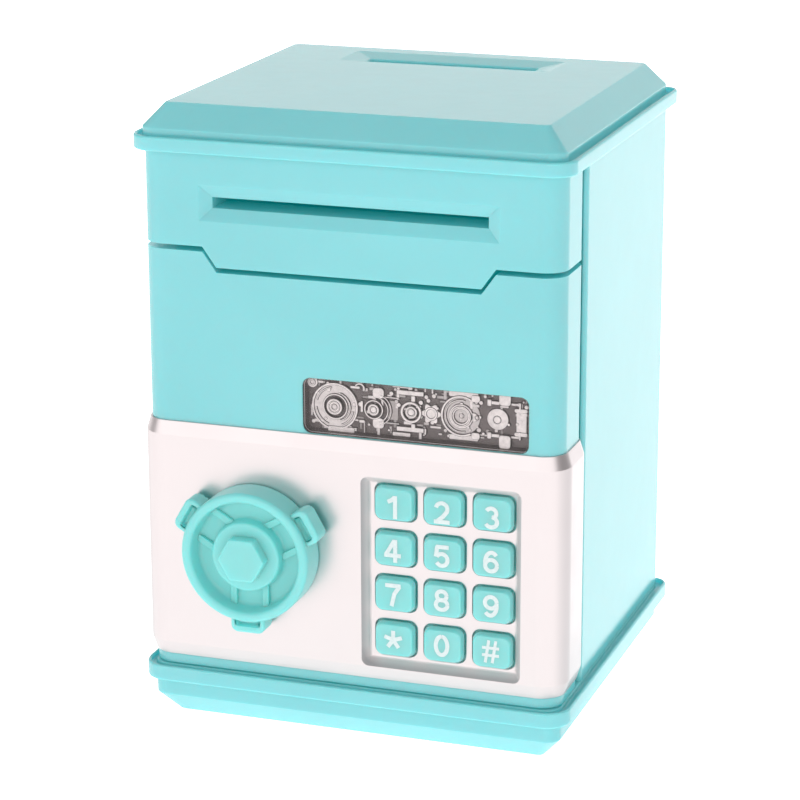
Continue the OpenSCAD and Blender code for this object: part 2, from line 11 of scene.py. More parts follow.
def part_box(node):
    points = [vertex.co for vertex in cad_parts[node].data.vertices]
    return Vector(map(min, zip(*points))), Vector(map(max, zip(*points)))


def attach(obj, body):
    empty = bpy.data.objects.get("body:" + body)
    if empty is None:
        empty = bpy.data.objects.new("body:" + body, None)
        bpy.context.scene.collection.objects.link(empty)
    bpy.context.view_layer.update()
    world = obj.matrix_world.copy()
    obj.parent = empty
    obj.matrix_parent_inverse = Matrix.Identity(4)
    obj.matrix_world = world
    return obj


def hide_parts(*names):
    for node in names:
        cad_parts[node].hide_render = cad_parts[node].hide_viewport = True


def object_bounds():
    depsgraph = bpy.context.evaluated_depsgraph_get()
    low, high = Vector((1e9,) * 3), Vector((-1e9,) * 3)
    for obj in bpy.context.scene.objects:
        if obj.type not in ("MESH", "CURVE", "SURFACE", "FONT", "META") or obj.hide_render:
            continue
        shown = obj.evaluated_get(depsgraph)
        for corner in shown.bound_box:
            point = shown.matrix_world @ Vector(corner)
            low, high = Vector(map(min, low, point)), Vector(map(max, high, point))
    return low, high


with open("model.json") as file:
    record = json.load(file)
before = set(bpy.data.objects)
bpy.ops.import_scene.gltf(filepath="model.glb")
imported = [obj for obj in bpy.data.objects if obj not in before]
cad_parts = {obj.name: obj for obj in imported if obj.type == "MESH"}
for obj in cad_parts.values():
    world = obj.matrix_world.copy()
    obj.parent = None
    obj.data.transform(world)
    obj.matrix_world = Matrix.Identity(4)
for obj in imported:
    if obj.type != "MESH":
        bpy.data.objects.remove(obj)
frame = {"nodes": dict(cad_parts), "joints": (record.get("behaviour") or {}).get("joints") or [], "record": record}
cad_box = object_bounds()

MM = 0.001
NODES = frame["nodes"]
JOINTS = {joint["name"]: joint for joint in frame["joints"]}
KNOB_AXIS = Vector(JOINTS["knob_turn"]["pos_m"])


def link_object(name, data):
    """Adds an object with the given data to the scene."""
    piece = bpy.data.objects.new(name, data)
    bpy.context.scene.collection.objects.link(piece)
    return piece


# ---------- camera ----------

VIEW_AZIMUTH = math.radians(19.1)
VIEW_ELEVATION = math.radians(16.4)
VIEW_ROLL = math.radians(-0.18)
VIEW_DISTANCE = 0.5297
VIEW_OFFSET = (0.0025, 0.0029)
FOCAL_WIDTHS = 3.68
SENSOR_MM = 36.0


def make_camera():
    """Camera that looks at the middle of the object from the front right, a little above."""
    az, el = VIEW_AZIMUTH, VIEW_ELEVATION
    back = Vector((math.sin(az) * math.cos(el), -math.cos(az) * math.cos(el), math.sin(el)))
    level_right = Vector((math.cos(az), math.sin(az), 0))
    level_up = back.cross(level_right)
    right = level_right * math.cos(VIEW_ROLL) + level_up * math.sin(VIEW_ROLL)
    up = back.cross(right)
    middle = Vector((0, 0, cad_box[1][2] / 2))
    place = middle + back * VIEW_DISTANCE - right * VIEW_OFFSET[0] - up * VIEW_OFFSET[1]
    data = bpy.data.cameras.new("camera")
    data.sensor_width = SENSOR_MM
    data.lens = SENSOR_MM * FOCAL_WIDTHS
    data.clip_start = 0.01
    camera = link_object("camera", data)
    turn = Matrix((right, up, back)).transposed().to_4x4()
    camera.matrix_world = Matrix.Translation(place) @ turn
    bpy.context.scene.camera = camera


# ---------- material helpers ----------


def new_material(name, color, roughness, metallic=0.0):
    """Principled material; returns it with its node tree and shader."""
    material = bpy.data.materials.new(name)
    material.use_nodes = True
    tree = material.node_tree
    shader = tree.nodes["Principled BSDF"]
    shader.inputs["Base Color"].default_value = (*color, 1)
    shader.inputs["Roughness"].default_value = roughness
    shader.inputs["Metallic"].default_value = metallic
    return material, tree, shader


def noise(tree, scale, detail=3.0, stretch=None):
    """Noise texture in object space, in metres; stretch scales the axes first."""
    coordinates = tree.nodes.new("ShaderNodeTexCoord")
    texture = tree.nodes.new("ShaderNodeTexNoise")
    texture.inputs["Scale"].default_value = scale
    texture.inputs["Detail"].default_value = detail
    source = coordinates.outputs["Object"]
    if stretch:
        mapping = tree.nodes.new("ShaderNodeMapping")
        mapping.inputs["Scale"].default_value = stretch
        tree.links.new(source, mapping.inputs["Vector"])
        source = mapping.outputs["Vector"]
    tree.links.new(source, texture.inputs["Vector"])
    return texture.outputs["Fac"]


def spread(tree, source, low, high):
    """Maps a noise value onto the range low to high."""
    remap = tree.nodes.new("ShaderNodeMapRange")
    remap.inputs["From Min"].default_value = 0.3
    remap.inputs["From Max"].default_value = 0.7
    remap.inputs["To Min"].default_value = low
    remap.inputs["To Max"].default_value = high
    tree.links.new(source, remap.inputs["Value"])
    return remap.outputs["Result"]


def vary_color(tree, shader, source, dark, light):
    """Blends the base colour between two near tones by a noise value."""
    mix = tree.nodes.new("ShaderNodeMix")
    mix.data_type = "RGBA"
    mix.inputs["A"].default_value = (*dark, 1)
    mix.inputs["B"].default_value = (*light, 1)
    tree.links.new(source, mix.inputs["Factor"])
    tree.links.new(mix.outputs["Result"], shader.inputs["Base Color"])


def add_bump(tree, shader, source, height):
    """Adds a bump of the given height in metres."""
    bump = tree.nodes.new("ShaderNodeBump")
    bump.inputs["Strength"].default_value = 0.5
    bump.inputs["Distance"].default_value = height
    tree.links.new(source, bump.inputs["Height"])
    tree.links.new(bump.outputs["Normal"], shader.inputs["Normal"])


def math_node(tree, operation, first, second=None):
    """Adds a Math node whose inputs are sockets or plain numbers."""
    node = tree.nodes.new("ShaderNodeMath")
    node.operation = operation
    for socket, value in zip(node.inputs, (first, second)):
        if value is None:
            continue
        if isinstance(value, (int, float)):
            socket.default_value = value
        else:
            tree.links.new(value, socket)
    return node.outputs["Value"]


def ramp(tree, source, start, end, low=0.0, high=1.0):
    """Smooth step from low at start to high at end."""
    node = tree.nodes.new("ShaderNodeMapRange")
    node.interpolation_type = "SMOOTHSTEP"
    for name, value in (("From Min", start), ("From Max", end), ("To Min", low), ("To Max", high)):
        node.inputs[name].default_value = value
    tree.links.new(source, node.inputs["Value"])
    return node.outputs["Result"]


def split_xyz(tree, coordinates):
    """X, Y and Z of the texture coordinate of the given name."""
    source = tree.nodes.new("ShaderNodeTexCoord")
    split = tree.nodes.new("ShaderNodeSeparateXYZ")
    tree.links.new(source.outputs[coordinates], split.inputs["Vector"])
    return split.outputs["X"], split.outputs["Y"], split.outputs["Z"]


def between(tree, source, low, high):
    """1 where the source lies between two measures in millimetres, else 0."""
    reach = math_node(tree, "ABSOLUTE", math_node(tree, "SUBTRACT", source, (low + high) / 2 * MM))
    return math_node(tree, "LESS_THAN", reach, (high - low) / 2 * MM)


# Strength of the painted green glow that every moulded plastic gives off
PAINTED_GLOW = 0.085
TRANSLUCENT_RADIUS = (0.12, 0.9, 1.0)
TRANSLUCENT_SCALE = 0.002
PLASTIC_IOR = 1.6


def moulded_plastic(name, color, roughness, glow=0.75, inner=PAINTED_GLOW):
    """Injection-moulded plastic: faint flow tone, a little uneven gloss, fine orange peel, and a faint painted
    green glow that keeps its shadows green.
    """
    material, tree, shader = new_material(name, color, roughness)
    dark = [c * 0.965 for c in color]
    light = [min(1, c * 1.02) for c in color]
    vary_color(tree, shader, spread(tree, noise(tree, 35), 0, 1), dark, light)
    gloss = spread(tree, noise(tree, 260, 4), roughness * 0.8, roughness * 1.25)
    tree.links.new(gloss, shader.inputs["Roughness"])
    add_bump(tree, shader, noise(tree, 900, 2), 0.000012)
    shader.inputs["Subsurface Weight"].default_value = glow
    shader.inputs["Subsurface Radius"].default_value = TRANSLUCENT_RADIUS
    shader.inputs["Subsurface Scale"].default_value = TRANSLUCENT_SCALE
    # Painted glow: a faint green emission that stands in for light carried through the translucent plastic, and
    # keeps its shadows green
    shader.inputs["Emission Color"].default_value = (0.0, color[1], color[2] * 0.9, 1)
    shader.inputs["Emission Strength"].default_value = inner
    shader.inputs["IOR"].default_value = PLASTIC_IOR
    return material


# How strongly shade is painted on the plating's sides and in the keypad recess: 0 not at all, 1 fully
SIDE_PAINTED_SHADE = 0.45
MOUTH_SHADE = 0.85
CORNER_SHADE = 0.5
# Strength of the random darker cloud over the plating
CLOUD_SHADE = 0.06
# Darker plating tone that the painted shade and the random cloud blend towards
SHADE_AND_CLOUD_PLATING = (0.42, 0.4, 0.41)
# Reach of the painted shade in the lower left corner of the recess, in millimetres
CORNER_REACH = 4
# The walls of the recess are rougher and less metallic than the panel's face
WALL_ROUGHNESS = 0.3
WALL_PAINT = 0.75


def recess_shade(tree, normal_x, normal_z):
    """Painted shade on the recess walls: those facing up or right darken towards the mouth, and all of them darken
    in one corner.
    """
    x, y, z = split_xyz(tree, "Object")
    facing_up_or_right = ramp(tree, math_node(tree, "MAXIMUM", normal_x, normal_z), 0.2, 0.6)
    face_y = DOOR_FRONT - PANEL_PROUD
    mouth = ramp(tree, y, (face_y + RECESS_DEPTH) * MM, face_y * MM, 0.0, MOUTH_SHADE)
    corner = math_node(tree, "MULTIPLY",
                       ramp(tree, x, (RECESS_LOW[0] + CORNER_REACH) * MM, RECESS_LOW[0] * MM),
                       ramp(tree, z, (RECESS_LOW[1] + CORNER_REACH) * MM, RECESS_LOW[1] * MM))
    return math_node(tree, "ADD", math_node(tree, "MULTIPLY", facing_up_or_right, mouth),
                     math_node(tree, "MULTIPLY", corner, CORNER_SHADE))


def plated(name, color, roughness):
    """Sprayed plating with slow waviness; shade is painted on its sides and on the walls of the keypad recess,
    whose walls are also rougher and less metallic.
    """
    material, tree, shader = new_material(name, color, roughness, 1.0)
    normal_x, normal_y, normal_z = split_xyz(tree, "Normal")
    x, _, z = split_xyz(tree, "Object")
    slant = ramp(tree, math_node(tree, "ABSOLUTE", normal_y), 0.97, 0.85)
    inside = math_node(tree, "MULTIPLY", between(tree, x, RECESS_LOW[0], RECESS_HIGH[0]),
                       between(tree, z, RECESS_LOW[1], RECESS_HIGH[1]))
    recess_wall = math_node(tree, "MULTIPLY", slant, inside)
    wall_painted_shade = math_node(tree, "MULTIPLY", recess_wall, recess_shade(tree, normal_x, normal_z))
    side = ramp(tree, math_node(tree, "ABSOLUTE", normal_x), 0.6, 0.98)
    side_painted_shade = math_node(tree, "MULTIPLY", side, SIDE_PAINTED_SHADE)
    # Painted shade: the stronger of the side shade and the recess wall shade
    painted_shade = math_node(tree, "MAXIMUM", side_painted_shade, wall_painted_shade)
    cloud = math_node(tree, "MULTIPLY", noise(tree, 60, 3), CLOUD_SHADE)
    vary_color(tree, shader, math_node(tree, "ADD", painted_shade, cloud), color, SHADE_AND_CLOUD_PLATING)
    gloss = spread(tree, noise(tree, 120, 4), roughness * 0.93, roughness * 1.15)
    rough = math_node(tree, "ADD", gloss, math_node(tree, "MULTIPLY", recess_wall, WALL_ROUGHNESS))
    tree.links.new(rough, shader.inputs["Roughness"])
    less_metal = math_node(tree, "MULTIPLY", recess_wall, WALL_PAINT)
    tree.links.new(math_node(tree, "SUBTRACT", 1.0, less_metal), shader.inputs["Metallic"])
    return material


def clear_plastic(name):
    """Clear window plastic whose moulded edge is dark, with a trace of haze."""
    material, tree, shader = new_material(name, (1, 1, 1), 0.03)
    _, facing, _ = split_xyz(tree, "Normal")
    face = ramp(tree, math_node(tree, "ABSOLUTE", facing), 0.4, 0.8)
    vary_color(tree, shader, face, (0.16, 0.13, 0.13), (1, 1, 1))
    tree.links.new(face, shader.inputs["Transmission Weight"])
    tree.links.new(spread(tree, noise(tree, 400, 3), 0.02, 0.06), shader.inputs["Roughness"])
    shader.inputs["IOR"].default_value = 1.3
    return material


def relief_metal(name):
    """Satin silver relief, darker on its ground and on the walls of its raised shapes."""
    material, tree, shader = new_material(name, (0.6, 0.52, 0.52), 0.38, 0.35)
    _, y, _ = split_xyz(tree, "Object")
    ground_y = RELIEF_FRONT * MM
    height = ramp(tree, y, ground_y - 0.04 * MM, ground_y - 0.3 * MM)
    _, facing, _ = split_xyz(tree, "Normal")
    face = ramp(tree, facing, -0.55, -0.9)
    mottle = spread(tree, noise(tree, 1500, 4), 0.78, 1.0)
    lift = math_node(tree, "MULTIPLY", math_node(tree, "MULTIPLY", height, face), mottle)
    vary_color(tree, shader, lift, (0.15, 0.122, 0.12), (0.96, 0.88, 0.87))
    add_bump(tree, shader, noise(tree, 2200, 4), 0.00004)
    return material


def brushed_steel(name):
    """Zinc-plated steel."""
    material, tree, shader = new_material(name, (0.62, 0.63, 0.65), 0.3, 1.0)
    tree.links.new(spread(tree, noise(tree, 900, 3, (1, 1, 0.1)), 0.22, 0.42), shader.inputs["Roughness"])
    add_bump(tree, shader, noise(tree, 1500, 2), 0.000015)
    return material


def print_ink(name):
    """Pale pad-printed ink, slightly see-through to the mint below it."""
    material, tree, shader = new_material(name, (0.68, 0.78, 0.78), 0.4)
    vary_color(tree, shader, spread(tree, noise(tree, 2600, 4), 0, 1), (0.62, 0.74, 0.74), (0.73, 0.82, 0.82))
    add_bump(tree, shader, noise(tree, 4000, 2), 0.00001)
    return material


def silicone(name):
    """Milky silicone rubber."""
    return moulded_plastic(name, (0.62, 0.6, 0.55), 0.55, 0.3)


# ---------- measures read from the frame ----------


def to_mm(node):
    """Lowest and highest corners of a CAD node, in millimetres."""
    low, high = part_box(node)
    return low / MM, high / MM


RECESS_LOW = (2.5, 14.5)
RECESS_HIGH = (31.0, 48.7)
RECESS_DEPTH = 1.8
PANEL_PROUD = 1.0
LID_LOW, LID_HIGH = to_mm("top_lid")
BASE_TOP = to_mm("base_tray")[1].z
BODY_HALF = (to_mm("housing")[1].x, -to_mm("door_shell")[0].y)
OVERHANG = LID_HIGH.x - BODY_HALF[0]
DOOR_FRONT = -BODY_HALF[1]
PANEL_LOW, PANEL_HIGH = to_mm("chrome_panel")
KNOB_LOW, KNOB_HIGH = to_mm("knob")
KNOB_X, _, KNOB_Z = KNOB_AXIS / MM
WINDOW_LOW, WINDOW_HIGH = to_mm("window_lens")
RELIEF_FRONT = DOOR_FRONT + 2.2
WALL = 2.2

# ---------- mesh helpers, in millimetres ----------

# Points closer than this become one
JOIN_MM = 0.0005


def fillet(points, radii, steps=4):
    """Rounds the inner corners of an open line of points in the plane by the given radii."""
    line = [Vector(points[0])]
    for before, corner, after, radius in zip(points, points[1:], points[2:], radii):
        corner = Vector(corner)
        back = (Vector(before) - corner).normalized()
        ahead = (Vector(after) - corner).normalized()
        if radius <= 0:
            line.append(corner)
            continue
        half = back.angle(ahead) / 2
        reach = radius / math.tan(half)
        centre = corner + (back + ahead).normalized() * (radius / math.sin(half))
        start = corner + back * reach - centre
        turn = start.angle_signed(corner + ahead * reach - centre)
        for step in range(steps + 1):
            angle = -turn * step / steps
            line.append(centre + Matrix.Rotation(angle, 2) @ start)
    line.append(Vector(points[-1]))
    return line


def rounded_box(low, high, radii, steps=6):
    """Outline of a rectangle, anticlockwise from its upper right corner, as pairs of numbers.

    The radii are those of the upper right, upper left, lower left and lower right corners."""
    corners = ((high[0], high[1], -1, -1), (low[0], high[1], 1, -1),
               (low[0], low[1], 1, 1), (high[0], low[1], -1, 1))
    outline = []
    for quarter, ((x, y, to_x, to_y), radius) in enumerate(zip(corners, radii)):
        for step in range(steps + 1):
            angle = math.radians(90 * (quarter + step / steps))
            outline.append((x + radius * (to_x + math.cos(angle)), y + radius * (to_y + math.sin(angle))))
    return outline


def plan_ring(grow, z, front_r, rear_r, steps=8):
    """Ring round the body's plan, grown outwards, at height z."""
    half_x, half_y = BODY_HALF[0] + grow, BODY_HALF[1] + grow
    outline = rounded_box((-half_x, -half_y), (half_x, half_y), (rear_r, rear_r, front_r, front_r), steps)
    return [(x, y, z) for x, y in outline]


def circle_ring(radius, y, steps=96):
    """Ring round the Y axis."""
    angles = (math.tau * step / steps for step in range(steps))
    return [(radius * math.cos(a), y, radius * math.sin(a)) for a in angles]


def add_loft(build, rings, closed_rings=True, cap=True, closed_run=False):
    """Skins a run of rings with the same count of points and caps its ends."""
    made = [[build.verts.new(point) for point in ring] for ring in rings]
    runs = list(zip(made, made[1:]))
    if closed_run:
        runs.append((made[-1], made[0]))
    for one, two in runs:
        count = len(one)
        for index in range(count if closed_rings else count - 1):
            after = (index + 1) % count
            build.faces.new((one[index], one[after], two[after], two[index]))
    if cap:
        build.faces.new(list(reversed(made[0])))
        build.faces.new(made[-1])


def new_piece(name, fill):
    """Object made by fill(build), which adds faces in millimetres."""
    build = bmesh.new()
    fill(build)
    bmesh.ops.remove_doubles(build, verts=build.verts, dist=JOIN_MM)
    bmesh.ops.recalc_face_normals(build, faces=build.faces)
    bmesh.ops.scale(build, vec=(MM, MM, MM), verts=build.verts)
    mesh = bpy.data.meshes.new(name)
    build.to_mesh(mesh)
    build.free()
    return link_object(name, mesh)


def loft_object(name, rings, **options):
    """Closed object skinned over rings."""
    return new_piece(name, lambda build: add_loft(build, rings, **options))


SHARP_R = 0.001


def box_rings(low, high, radius=SHARP_R, steps=1):
    """Two rings of an upright block with rounded corners."""
    outline = rounded_box(low, high, [max(radius, SHARP_R)] * 4, steps)
    return [[(x, y, z) for x, y in outline] for z in (low[2], high[2])]


def combine(piece, tools, operation):
    """Adds or cuts closed tool objects, and deletes them."""
    for tool in tools:
        change = piece.modifiers.new("change", "BOOLEAN")
        change.operation = operation
        change.solver = "EXACT"
        change.object = tool
    bpy.context.view_layer.update()
    shaped = bpy.data.meshes.new_from_object(piece.evaluated_get(bpy.context.evaluated_depsgraph_get()))
    piece.modifiers.clear()
    piece.data = shaped
    for tool in tools:
        bpy.data.objects.remove(tool)


def smooth(piece, angle=32):
    """Smooth shading with crisp edges and flat faces kept flat."""
    piece.data.shade_smooth()
    piece.data.set_sharp_from_angle(angle=math.radians(angle))
    even = piece.modifiers.new("even_normals", "WEIGHTED_NORMAL")
    even.keep_sharp = True
    even.weight = 100


def finish_piece(piece, body, slot, nodes=()):
    """Gives a new piece the material of its slot and its body, and hides the CAD nodes it stands for."""
    piece.data.materials.clear()
    piece.data.materials.append(SLOT_MATERIALS[slot])
    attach(piece, body)
    for node in nodes:
        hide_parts(node)


# ---------- materials of the slots ----------

MINT = (0.235, 0.6, 0.635)
MINT_KNOB = (0.245, 0.64, 0.63)
LATCH = (0.12, 0.42, 0.42)

SLOT_MATERIALS = {
    "mint_plastic": moulded_plastic("mint_plastic", MINT, 0.16),
    "knob_plastic": moulded_plastic("knob_plastic", MINT_KNOB, 0.345),
    # The keys get a weaker painted glow than the other plastics
    "key_plastic": moulded_plastic("key_plastic", MINT_KNOB, 0.215, inner=0.04),
    "latch_plastic": moulded_plastic("latch_plastic", LATCH, 0.45),
    "chrome_plating": plated("chrome_plating", (0.76, 0.70, 0.70), 0.3),
    "clear_window": clear_plastic("clear_window"),
    "relief_plating": relief_metal("relief_plating"),
    "silicone_mat": silicone("silicone_mat"),
    "white_plastic": moulded_plastic("white_plastic", (0.8, 0.79, 0.75), 0.4),
    "zinc_steel": brushed_steel("zinc_steel"),
}
ink = print_ink("key_print")

# Width of the eased edges of each CAD node that stays visible, in millimetres
EDGE_MM = {"housing": 0.3, "note_fascia": 0.25, "door_shell": 0.25, "door_back_plate": 0.2,
           "keypad_tray": 0.2, "latch_cam": 0.2}
SMALL_EDGE_MM = 0.08
# Points closer than WELD_MM are joined, faces within FLAT_DEGREES of each other count as one flat face,
# and edges sharper than EDGE_DEGREES are eased
WELD_MM = 0.002
FLAT_DEGREES = 0.5
EDGE_DEGREES = 12


def ease_edges(piece, width):
    """Rounds a CAD node's sharp edges with modifiers; its own mesh stays as it is."""
    weld = piece.modifiers.new("weld", "WELD")
    weld.merge_threshold = WELD_MM * MM
    flat = piece.modifiers.new("flat_faces", "DECIMATE")
    flat.decimate_type = "DISSOLVE"
    flat.angle_limit = math.radians(FLAT_DEGREES)
    bevel = piece.modifiers.new("eased_edges", "BEVEL")
    bevel.width = width * MM
    bevel.segments = 3
    bevel.limit_method = "ANGLE"
    bevel.angle_limit = math.radians(EDGE_DEGREES)
    bevel.use_clamp_overlap = True
    even = piece.modifiers.new("flat_shading", "WEIGHTED_NORMAL")
    even.mode = "FACE_AREA"
    even.weight = 100


def dress_cad_nodes():
    """Gives every CAD node its material and eased edges."""
    slots = {part["node"]: part["material_slot"] for part in frame["record"]["subparts"]}
    for name, piece in NODES.items():
        piece.data.materials.clear()
        piece.data.materials.append(SLOT_MATERIALS[slots[name]])
        piece.data.shade_smooth()
        ease_edges(piece, EDGE_MM.get(name, SMALL_EDGE_MM))


# ---------- lid and base ----------

SCREW_SPOTS = ((-31, -12.5), (31, -12.5), (-31, 28.4), (31, 28.4))
BOSS_R = 2.8
FLANGE_FRONT_R = 4.5
FLANGE_REAR_R = 2.5
LID_FLANGE = 2.55
BASE_FLANGE = 2.85
RIM_WIDTH = 0.6
GUTTER_DEPTH = 0.8
BEVEL_HEIGHT = 4.0
BEVEL_RUN = 3.55
BAND_CORNER_R = 2.8
MITRE_R = 1.1
# The bevels' corners tighten from the band's radius to the mitre's over this inward step
MITRE_START = 0.8
COIN_SLOT = (32.0, 2.6)
COIN_RECESS = (40.0, 10.6)
COIN_RECESS_DEPTH = 0.7
COIN_Y = 21.6
SLOT_CORNER_R = 0.4
PIN_HOLE_R = 1.02
SCREW_HOLE_R = 1.0
SCREW_POCKET_R = 1.9


def corner_radii(grow):
    """Front and rear corner radii of the plan where it is grown by the given amount."""
    rim = OVERHANG - RIM_WIDTH
    if grow >= rim:
        return FLANGE_FRONT_R - (OVERHANG - grow), max(FLANGE_REAR_R - (OVERHANG - grow), 0.3)
    if grow >= 0:
        share = grow / rim
        return (BAND_CORNER_R + share * (FLANGE_FRONT_R - RIM_WIDTH - BAND_CORNER_R),
                BAND_CORNER_R + share * (FLANGE_REAR_R - RIM_WIDTH - BAND_CORNER_R))
    share = min(1, -grow / MITRE_START)
    radius = BAND_CORNER_R + share * (MITRE_R - BAND_CORNER_R)
    return radius, radius


def plan_loft(name, profile):
    """Closed object whose outline follows a profile of (grow, z) round the body's plan."""
    return loft_object(name, [plan_ring(grow, z, *corner_radii(grow)) for grow, z in profile])


def funnel(name, middle, top_z, mouth, throat, depth, bottom_z, mouth_round=0.35):
    """Cutter that opens towards the top: a rounded mouth, sloped walls and a straight throat."""
    line = fillet([(mouth[0] / 2 + 3, top_z), (mouth[0] / 2, top_z), (throat[0] / 2, top_z - depth),
                   (throat[0] / 2, bottom_z)], (mouth_round, 0.3))
    slope_x = (mouth[0] - throat[0]) / 2
    slope_y = (mouth[1] - throat[1]) / 2

    def ring(half_x, half_y, z):
        outline = rounded_box((middle[0] - half_x, middle[1] - half_y),
                              (middle[0] + half_x, middle[1] + half_y), [SLOT_CORNER_R] * 4, 3)
        return [(x, y, z) for x, y in outline]

    rings = [ring(line[1].x, mouth[1] / 2 + line[1].x - mouth[0] / 2, top_z + 3)]
    for half_x, z in line[1:]:
        share = (half_x - throat[0] / 2) / slope_x
        rings.append(ring(half_x, throat[1] / 2 + share * slope_y, z))
    return loft_object(name, rings)


def post(name, x, y, radius, z0, z1):
    """Upright cylinder."""
    rings = [[(x + px, y + pz, z) for px, _, pz in circle_ring(radius, 0, 32)] for z in (z0, z1)]
    return loft_object(name, rings)


def hollow(name, low, high, bosses):
    """Cutter for a cavity that leaves round bosses standing at the screw spots."""
    cutter = loft_object(name, box_rings(low, high, 1.5, 4))
    combine(cutter, [post("boss", x, y, BOSS_R, low[2] - 1, high[2] + 1) for x, y in bosses], "DIFFERENCE")
    return cutter


def make_lid():
    """Lid with a rounded rim, a gutter, mitred bevels and a funnelled coin slot."""
    z0, top = LID_LOW.z, LID_HIGH.z
    rim_z = z0 + LID_FLANGE
    gutter_z = rim_z - GUTTER_DEPTH
    rim = OVERHANG - RIM_WIDTH
    line = [(-3, z0), (OVERHANG, z0), (OVERHANG, rim_z), (rim, rim_z), (rim, gutter_z), (0, gutter_z),
            (0, top - BEVEL_HEIGHT), (-BEVEL_RUN, top), (-BEVEL_RUN - 2, top)]
    profile = fillet(line, (0.35, 0.42, 0.4, 0.22, 0.3, 0.45, 0.45))
    lid = plan_loft("lid_shell", profile)
    inner = BEVEL_RUN + WALL
    cavity = hollow("lid_cavity", (-BODY_HALF[0] + inner, -BODY_HALF[1] + inner, z0 - 1),
                    (BODY_HALF[0] - inner, BODY_HALF[1] - inner, top - 2.4), SCREW_SPOTS)
    coin = funnel("coin_cutter", (0, COIN_Y), top, COIN_RECESS, COIN_SLOT, COIN_RECESS_DEPTH, z0 - 2)
    combine(lid, [cavity, coin], "DIFFERENCE")
    smooth(lid)
    finish_piece(lid, "bank_body", "mint_plastic", ["top_lid"])


def make_base():
    """Base with a chamfered foot, a rounded rim, a gutter and screw pockets below."""
    top = BASE_TOP
    gutter_z = top - GUTTER_DEPTH
    rim = OVERHANG - RIM_WIDTH
    flange_z = top - BASE_FLANGE
    line = [(-BEVEL_RUN - 2, 0), (-BEVEL_RUN, 0), (0, BEVEL_HEIGHT), (0, flange_z), (OVERHANG, flange_z),
            (OVERHANG, top), (rim, top), (rim, gutter_z), (0, gutter_z), (0, top), (-3, top)]
    profile = fillet(line, (0.4, 0.45, 0.3, 0.35, 0.42, 0.4, 0.22, 0.22, 0.25))
    base = plan_loft("base_shell", profile)
    inner = BEVEL_RUN + WALL
    cutters = [hollow("base_cavity", (-BODY_HALF[0] + inner, -18, 2.4),
                      (BODY_HALF[0] - inner, BODY_HALF[1] - inner, top + 1), SCREW_SPOTS)]
    for x, y in SCREW_SPOTS:
        cutters.append(post("screw_hole", x, y, SCREW_HOLE_R, -1, top + 1))
        cutters.append(post("screw_pocket", x, y, SCREW_POCKET_R, -1, 3))
    pin_low, pin_high = to_mm("hinge_pin")
    pin = (pin_low + pin_high) / 2
    cutters.append(post("pin_hole", pin.x, pin.y, PIN_HOLE_R, pin_low.z, top + 1))
    combine(base, cutters, "DIFFERENCE")
    smooth(base)
    finish_piece(base, "bank_body", "mint_plastic", ["base_tray"])


# ---------- chrome panel ----------

PANEL_CORNER_R = 4.0
PANEL_EDGE = 0.25
PANEL_BEVEL = 2.4
PIN_IN = 3.0
KNUCKLE_BASE_R = 3.05
KNUCKLE_TURN = 43
RECESS_SLOPE = 1.2
RECESS_CORNER_R = 1.3
RECESS_WALL = 0.75
RECESS_FLOOR = 0.8
KEY_SIZE = (7.2, 6.2)
KEY_GAP = 0.2
KEY_CORNER_R = 1.2
PIN_R = 1.0
KNUCKLE_EASE = 0.05


def panel_path(grow, z):
    """Plan of the panel as an open line: from the hinge side round the front to the left side."""
    pin_x = BODY_HALF[0] - PIN_IN
    pin_y = to_mm("hinge_pin")[0].y + PIN_R
    knuckle = KNUCKLE_BASE_R + grow - KNUCKLE_EASE
    right = []
    for step in range(7):
        angle = math.radians(KNUCKLE_TURN * (1 - step / 6))
        right.append((pin_x + knuckle * math.cos(angle), pin_y + knuckle * math.sin(angle)))
    corner_x = BODY_HALF[0] - PANEL_CORNER_R
    corner_y = -BODY_HALF[1] + PANEL_CORNER_R
    radius = PANEL_CORNER_R + grow
    for step in range(17):
        angle = math.radians(-90 * step / 16)
        right.append((corner_x + radius * math.cos(angle), corner_y + radius * math.sin(angle)))
    left = [(-x, y) for x, y in reversed(right)]
    return [(x, y, z) for x, y in right + left]


def key_spots():
    """Middle of every key, by node name."""
    return {name: (to_mm(name)[0] + to_mm(name)[1]) / 2 for name in KEY_MARKS}


def front_cutter(name, low, high, stages, radius, steps=4):
    """Cutter that runs back along Y; stages are (grow, y) pairs of its outline."""
    rings = []
    for grow, y in stages:
        outline = rounded_box((low[0] - grow, low[1] - grow), (high[0] + grow, high[1] + grow),
                              [max(radius + grow, 0.15)] * 4, steps)
        rings.append([(x, y, z) for x, z in outline])
    return loft_object(name, rings)


def key_hole_cutters(floor_y):
    """Cutters of the key holes, with eased edges on the recess floor."""
    half_x, half_z = KEY_SIZE[0] / 2 + KEY_GAP, KEY_SIZE[1] / 2 + KEY_GAP
    stages = [(0.2, floor_y - 0.3), (0.2, floor_y), (0.06, floor_y + 0.06), (0, floor_y + 0.2),
              (0, floor_y + 2)]
    return [front_cutter("key_hole", (spot.x - half_x, spot.z - half_z),
                         (spot.x + half_x, spot.z + half_z), stages, KEY_CORNER_R + KEY_GAP, 6)
            for spot in key_spots().values()]


